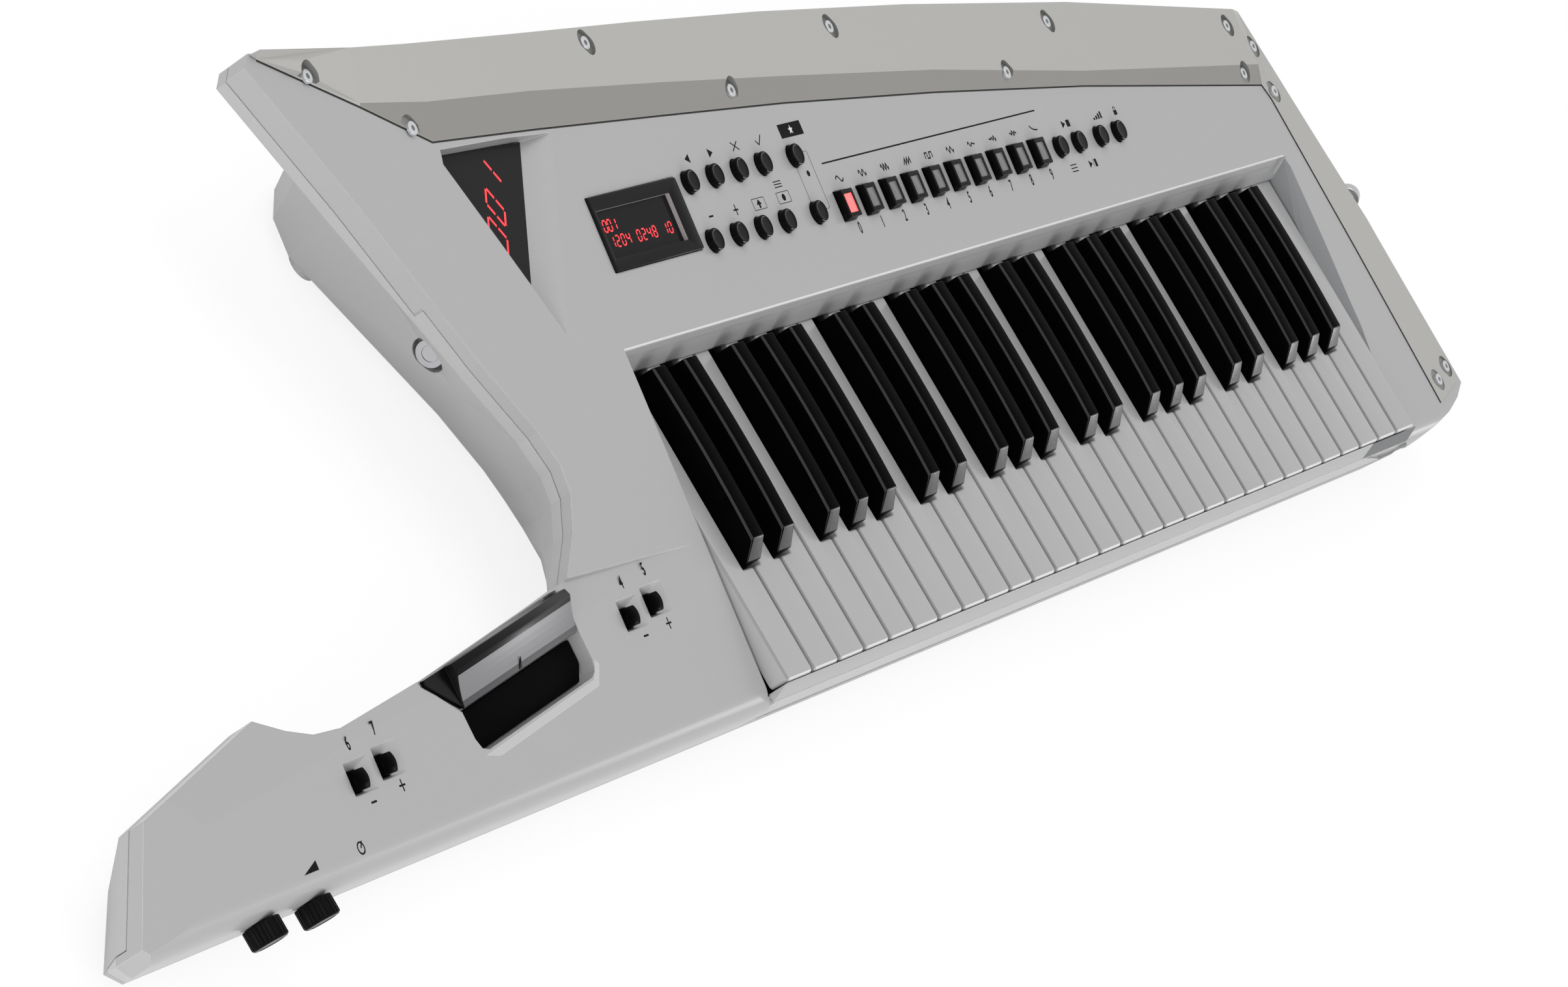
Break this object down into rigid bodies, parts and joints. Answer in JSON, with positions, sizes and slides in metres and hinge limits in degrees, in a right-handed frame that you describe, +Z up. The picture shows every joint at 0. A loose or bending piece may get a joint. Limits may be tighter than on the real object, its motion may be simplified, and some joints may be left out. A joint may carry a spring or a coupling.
{
  "type": "keytar",
  "caption": "Shoulder keyboard synthesizer with a swept body, a control neck, a rear trim blade and rocking keys",
  "frame": {"origin": "middle of the bounding box's bottom, on the plane that the feet stand on", "axes": "+X toward the high notes, +Y from the white keys' front edge to the rear blade, +Z up"},
  "size_m": [1.242, 0.292, 0.0857],
  "materials": {
    "casing": "satin light grey",
    "base": "satin grey",
    "blade": "pearl lacquer",
    "chassis": "matt",
    "board": "solder mask",
    "cells": "matt",
    "dark": "matt black",
    "glass": "smoked window",
    "ebony": "gloss black",
    "ivory": "gloss light grey",
    "chrome": "chrome plated plastic",
    "steel": "polished"
  },
  "bodies": {
    "casing": {"top_case": "casing", "bottom_case": "base", "trim_blade": "blade", "key_chassis": "chassis", "key_contact_board": "board", "main_board": "board", "panel_board": "board", "battery_pack": "cells", "jack_panel": "dark", "display_bezel": "glass", "led_window": "glass", "ribbon_controller": "dark", "strap_pin_left": "steel", "strap_pin_right": "steel"},
    "battery_cover": {"battery_cover": "base"},
    "modulation_bar": {"modulation_bar": "chrome"},
    "volume_knob": {"volume_knob": "dark"},
    "control_knob": {"control_knob": "dark"},
    "program_down_switch": {"program_down_switch": "ebony"},
    "program_up_switch": {"program_up_switch": "ebony"},
    "octave_down_switch": {"octave_down_switch": "ebony"},
    "octave_up_switch": {"octave_up_switch": "ebony"},
    "program_buttons": {"program_buttons": "ebony"},
    "cursor_buttons": {"cursor_buttons": "ebony"},
    "edit_buttons": {"edit_buttons": "ebony"},
    "bank_buttons": {"bank_buttons": "ebony"},
    "player_buttons": {"player_buttons": "ebony"},
    "white_key_01": {"white_key_01": "ivory"},
    "white_key_02": {"white_key_02": "ivory"},
    "white_key_03": {"white_key_03": "ivory"},
    "white_key_04": {"white_key_04": "ivory"},
    "white_key_05": {"white_key_05": "ivory"},
    "white_key_06": {"white_key_06": "ivory"},
    "white_key_07": {"white_key_07": "ivory"},
    "white_key_08": {"white_key_08": "ivory"},
    "white_key_09": {"white_key_09": "ivory"},
    "white_key_10": {"white_key_10": "ivory"},
    "white_key_11": {"white_key_11": "ivory"},
    "white_key_12": {"white_key_12": "ivory"},
    "white_key_13": {"white_key_13": "ivory"},
    "white_key_14": {"white_key_14": "ivory"},
    "white_key_15": {"white_key_15": "ivory"},
    "white_key_16": {"white_key_16": "ivory"},
    "white_key_17": {"white_key_17": "ivory"},
    "white_key_18": {"white_key_18": "ivory"},
    "white_key_19": {"white_key_19": "ivory"},
    "white_key_20": {"white_key_20": "ivory"},
    "white_key_21": {"white_key_21": "ivory"},
    "white_key_22": {"white_key_22": "ivory"},
    "white_key_23": {"white_key_23": "ivory"},
    "white_key_24": {"white_key_24": "ivory"},
    "white_key_25": {"white_key_25": "ivory"},
    "white_key_26": {"white_key_26": "ivory"},
    "white_key_27": {"white_key_27": "ivory"},
    "white_key_28": {"white_key_28": "ivory"},
    "white_key_29": {"white_key_29": "ivory"},
    "black_keys_1": {"black_keys_1": "ebony"},
    "black_keys_2": {"black_keys_2": "ebony"},
    "black_keys_3": {"black_keys_3": "ebony"},
    "black_keys_4": {"black_keys_4": "ebony"}
  },
  "joints": [
    {"name": "modulation_bar_tilt", "type": "hinge", "parent": "casing", "child": "modulation_bar", "pos_m": [-0.32914, -0.07896, 0.04533], "axis": [0.993, 0.1171, 0.0172], "range_deg": [0, 9.5], "stiffness_Nm_per_rad": 0.5, "springref_deg": -4.58},
    {"name": "volume_knob_turn", "type": "hinge", "parent": "casing", "child": "volume_knob", "pos_m": [-0.53901, -0.142, 0.03], "axis": [0, -1, 0], "range_deg": [-140, 140]},
    {"name": "control_knob_turn", "type": "hinge", "parent": "casing", "child": "control_knob", "pos_m": [-0.50401, -0.142, 0.03], "axis": [0, -1, 0], "range_deg": [-140, 140]},
    {"name": "battery_cover_hinge", "type": "hinge", "parent": "casing", "child": "battery_cover", "pos_m": [0.00999, 0.0655, 0.005], "axis": [1, 0, 0], "range_deg": [0, 100]},
    {"name": "program_down_switch_press", "type": "slide", "parent": "casing", "child": "program_down_switch", "axis": [0, 0.1454, -0.9894], "range_m": [0, 0.0012], "stiffness_N_per_m": 300, "springref_m": -0.0006},
    {"name": "program_up_switch_press", "type": "slide", "parent": "casing", "child": "program_up_switch", "axis": [0, 0.1454, -0.9894], "range_m": [0, 0.0012], "stiffness_N_per_m": 300, "springref_m": -0.0006},
    {"name": "octave_down_switch_press", "type": "slide", "parent": "casing", "child": "octave_down_switch", "axis": [0, 0.1454, -0.9894], "range_m": [0, 0.0012], "stiffness_N_per_m": 300, "springref_m": -0.0006},
    {"name": "octave_up_switch_press", "type": "slide", "parent": "casing", "child": "octave_up_switch", "axis": [0, 0.1454, -0.9894], "range_m": [0, 0.0012], "stiffness_N_per_m": 300, "springref_m": -0.0006},
    {"name": "program_buttons_press", "type": "slide", "parent": "casing", "child": "program_buttons", "axis": [0, 0.1454, -0.9894], "range_m": [0, 0.0008], "stiffness_N_per_m": 900, "springref_m": -0.0006},
    {"name": "cursor_buttons_press", "type": "slide", "parent": "casing", "child": "cursor_buttons", "axis": [0, 0.1454, -0.9894], "range_m": [0, 0.0008], "stiffness_N_per_m": 600, "springref_m": -0.0006},
    {"name": "edit_buttons_press", "type": "slide", "parent": "casing", "child": "edit_buttons", "axis": [0, 0.1454, -0.9894], "range_m": [0, 0.0008], "stiffness_N_per_m": 600, "springref_m": -0.0006},
    {"name": "bank_buttons_press", "type": "slide", "parent": "casing", "child": "bank_buttons", "axis": [0, 0.1454, -0.9894], "range_m": [0, 0.0008], "stiffness_N_per_m": 600, "springref_m": -0.0006},
    {"name": "player_buttons_press", "type": "slide", "parent": "casing", "child": "player_buttons", "axis": [0, 0.1454, -0.9894], "range_m": [0, 0.0008], "stiffness_N_per_m": 600, "springref_m": -0.0006},
    {"name": "black_keys_1_press", "type": "hinge", "parent": "casing", "child": "black_keys_1", "pos_m": [-0.07601, 0.027, 0.043], "axis": [1, 0, 0], "range_deg": [0, 3.3], "stiffness_Nm_per_rad": 4, "springref_deg": -2.29},
    {"name": "black_keys_2_press", "type": "hinge", "parent": "casing", "child": "black_keys_2", "pos_m": [0.08849, 0.027, 0.043], "axis": [1, 0, 0], "range_deg": [0, 3.3], "stiffness_Nm_per_rad": 4, "springref_deg": -2.29},
    {"name": "black_keys_3_press", "type": "hinge", "parent": "casing", "child": "black_keys_3", "pos_m": [0.25299, 0.027, 0.043], "axis": [1, 0, 0], "range_deg": [0, 3.3], "stiffness_Nm_per_rad": 4, "springref_deg": -2.29},
    {"name": "black_keys_4_press", "type": "hinge", "parent": "casing", "child": "black_keys_4", "pos_m": [0.41749, 0.027, 0.043], "axis": [1, 0, 0], "range_deg": [0, 3.3], "stiffness_Nm_per_rad": 4, "springref_deg": -2.29},
    {"name": "white_key_01_press", "type": "hinge", "parent": "casing", "child": "white_key_01", "pos_m": [-0.14626, 0.027, 0.043], "axis": [1, 0, 0], "range_deg": [0, 3.3], "stiffness_Nm_per_rad": 1.2, "springref_deg": -1.72},
    {"name": "white_key_02_press", "type": "hinge", "parent": "casing", "child": "white_key_02", "pos_m": [-0.12276, 0.027, 0.043], "axis": [1, 0, 0], "range_deg": [0, 3.3], "stiffness_Nm_per_rad": 1.2, "springref_deg": -1.72},
    {"name": "white_key_03_press", "type": "hinge", "parent": "casing", "child": "white_key_03", "pos_m": [-0.09926, 0.027, 0.043], "axis": [1, 0, 0], "range_deg": [0, 3.3], "stiffness_Nm_per_rad": 1.2, "springref_deg": -1.72},
    {"name": "white_key_04_press", "type": "hinge", "parent": "casing", "child": "white_key_04", "pos_m": [-0.07576, 0.027, 0.043], "axis": [1, 0, 0], "range_deg": [0, 3.3], "stiffness_Nm_per_rad": 1.2, "springref_deg": -1.72},
    {"name": "white_key_05_press", "type": "hinge", "parent": "casing", "child": "white_key_05", "pos_m": [-0.05226, 0.027, 0.043], "axis": [1, 0, 0], "range_deg": [0, 3.3], "stiffness_Nm_per_rad": 1.2, "springref_deg": -1.72},
    {"name": "white_key_06_press", "type": "hinge", "parent": "casing", "child": "white_key_06", "pos_m": [-0.02876, 0.027, 0.043], "axis": [1, 0, 0], "range_deg": [0, 3.3], "stiffness_Nm_per_rad": 1.2, "springref_deg": -1.72},
    {"name": "white_key_07_press", "type": "hinge", "parent": "casing", "child": "white_key_07", "pos_m": [-0.00526, 0.027, 0.043], "axis": [1, 0, 0], "range_deg": [0, 3.3], "stiffness_Nm_per_rad": 1.2, "springref_deg": -1.72},
    {"name": "white_key_08_press", "type": "hinge", "parent": "casing", "child": "white_key_08", "pos_m": [0.01824, 0.027, 0.043], "axis": [1, 0, 0], "range_deg": [0, 3.3], "stiffness_Nm_per_rad": 1.2, "springref_deg": -1.72},
    {"name": "white_key_09_press", "type": "hinge", "parent": "casing", "child": "white_key_09", "pos_m": [0.04174, 0.027, 0.043], "axis": [1, 0, 0], "range_deg": [0, 3.3], "stiffness_Nm_per_rad": 1.2, "springref_deg": -1.72},
    {"name": "white_key_10_press", "type": "hinge", "parent": "casing", "child": "white_key_10", "pos_m": [0.06524, 0.027, 0.043], "axis": [1, 0, 0], "range_deg": [0, 3.3], "stiffness_Nm_per_rad": 1.2, "springref_deg": -1.72},
    {"name": "white_key_11_press", "type": "hinge", "parent": "casing", "child": "white_key_11", "pos_m": [0.08874, 0.027, 0.043], "axis": [1, 0, 0], "range_deg": [0, 3.3], "stiffness_Nm_per_rad": 1.2, "springref_deg": -1.72},
    {"name": "white_key_12_press", "type": "hinge", "parent": "casing", "child": "white_key_12", "pos_m": [0.11224, 0.027, 0.043], "axis": [1, 0, 0], "range_deg": [0, 3.3], "stiffness_Nm_per_rad": 1.2, "springref_deg": -1.72},
    {"name": "white_key_13_press", "type": "hinge", "parent": "casing", "child": "white_key_13", "pos_m": [0.13574, 0.027, 0.043], "axis": [1, 0, 0], "range_deg": [0, 3.3], "stiffness_Nm_per_rad": 1.2, "springref_deg": -1.72},
    {"name": "white_key_14_press", "type": "hinge", "parent": "casing", "child": "white_key_14", "pos_m": [0.15924, 0.027, 0.043], "axis": [1, 0, 0], "range_deg": [0, 3.3], "stiffness_Nm_per_rad": 1.2, "springref_deg": -1.72},
    {"name": "white_key_15_press", "type": "hinge", "parent": "casing", "child": "white_key_15", "pos_m": [0.18274, 0.027, 0.043], "axis": [1, 0, 0], "range_deg": [0, 3.3], "stiffness_Nm_per_rad": 1.2, "springref_deg": -1.72},
    {"name": "white_key_16_press", "type": "hinge", "parent": "casing", "child": "white_key_16", "pos_m": [0.20624, 0.027, 0.043], "axis": [1, 0, 0], "range_deg": [0, 3.3], "stiffness_Nm_per_rad": 1.2, "springref_deg": -1.72},
    {"name": "white_key_17_press", "type": "hinge", "parent": "casing", "child": "white_key_17", "pos_m": [0.22974, 0.027, 0.043], "axis": [1, 0, 0], "range_deg": [0, 3.3], "stiffness_Nm_per_rad": 1.2, "springref_deg": -1.72},
    {"name": "white_key_18_press", "type": "hinge", "parent": "casing", "child": "white_key_18", "pos_m": [0.25324, 0.027, 0.043], "axis": [1, 0, 0], "range_deg": [0, 3.3], "stiffness_Nm_per_rad": 1.2, "springref_deg": -1.72},
    {"name": "white_key_19_press", "type": "hinge", "parent": "casing", "child": "white_key_19", "pos_m": [0.27674, 0.027, 0.043], "axis": [1, 0, 0], "range_deg": [0, 3.3], "stiffness_Nm_per_rad": 1.2, "springref_deg": -1.72},
    {"name": "white_key_20_press", "type": "hinge", "parent": "casing", "child": "white_key_20", "pos_m": [0.30024, 0.027, 0.043], "axis": [1, 0, 0], "range_deg": [0, 3.3], "stiffness_Nm_per_rad": 1.2, "springref_deg": -1.72},
    {"name": "white_key_21_press", "type": "hinge", "parent": "casing", "child": "white_key_21", "pos_m": [0.32374, 0.027, 0.043], "axis": [1, 0, 0], "range_deg": [0, 3.3], "stiffness_Nm_per_rad": 1.2, "springref_deg": -1.72},
    {"name": "white_key_22_press", "type": "hinge", "parent": "casing", "child": "white_key_22", "pos_m": [0.34724, 0.027, 0.043], "axis": [1, 0, 0], "range_deg": [0, 3.3], "stiffness_Nm_per_rad": 1.2, "springref_deg": -1.72},
    {"name": "white_key_23_press", "type": "hinge", "parent": "casing", "child": "white_key_23", "pos_m": [0.37074, 0.027, 0.043], "axis": [1, 0, 0], "range_deg": [0, 3.3], "stiffness_Nm_per_rad": 1.2, "springref_deg": -1.72},
    {"name": "white_key_24_press", "type": "hinge", "parent": "casing", "child": "white_key_24", "pos_m": [0.39424, 0.027, 0.043], "axis": [1, 0, 0], "range_deg": [0, 3.3], "stiffness_Nm_per_rad": 1.2, "springref_deg": -1.72},
    {"name": "white_key_25_press", "type": "hinge", "parent": "casing", "child": "white_key_25", "pos_m": [0.41774, 0.027, 0.043], "axis": [1, 0, 0], "range_deg": [0, 3.3], "stiffness_Nm_per_rad": 1.2, "springref_deg": -1.72},
    {"name": "white_key_26_press", "type": "hinge", "parent": "casing", "child": "white_key_26", "pos_m": [0.44124, 0.027, 0.043], "axis": [1, 0, 0], "range_deg": [0, 3.3], "stiffness_Nm_per_rad": 1.2, "springref_deg": -1.72},
    {"name": "white_key_27_press", "type": "hinge", "parent": "casing", "child": "white_key_27", "pos_m": [0.46474, 0.027, 0.043], "axis": [1, 0, 0], "range_deg": [0, 3.3], "stiffness_Nm_per_rad": 1.2, "springref_deg": -1.72},
    {"name": "white_key_28_press", "type": "hinge", "parent": "casing", "child": "white_key_28", "pos_m": [0.48824, 0.027, 0.043], "axis": [1, 0, 0], "range_deg": [0, 3.3], "stiffness_Nm_per_rad": 1.2, "springref_deg": -1.72},
    {"name": "white_key_29_press", "type": "hinge", "parent": "casing", "child": "white_key_29", "pos_m": [0.51174, 0.027, 0.043], "axis": [1, 0, 0], "range_deg": [0, 3.3], "stiffness_Nm_per_rad": 1.2, "springref_deg": -1.72}
  ]
}
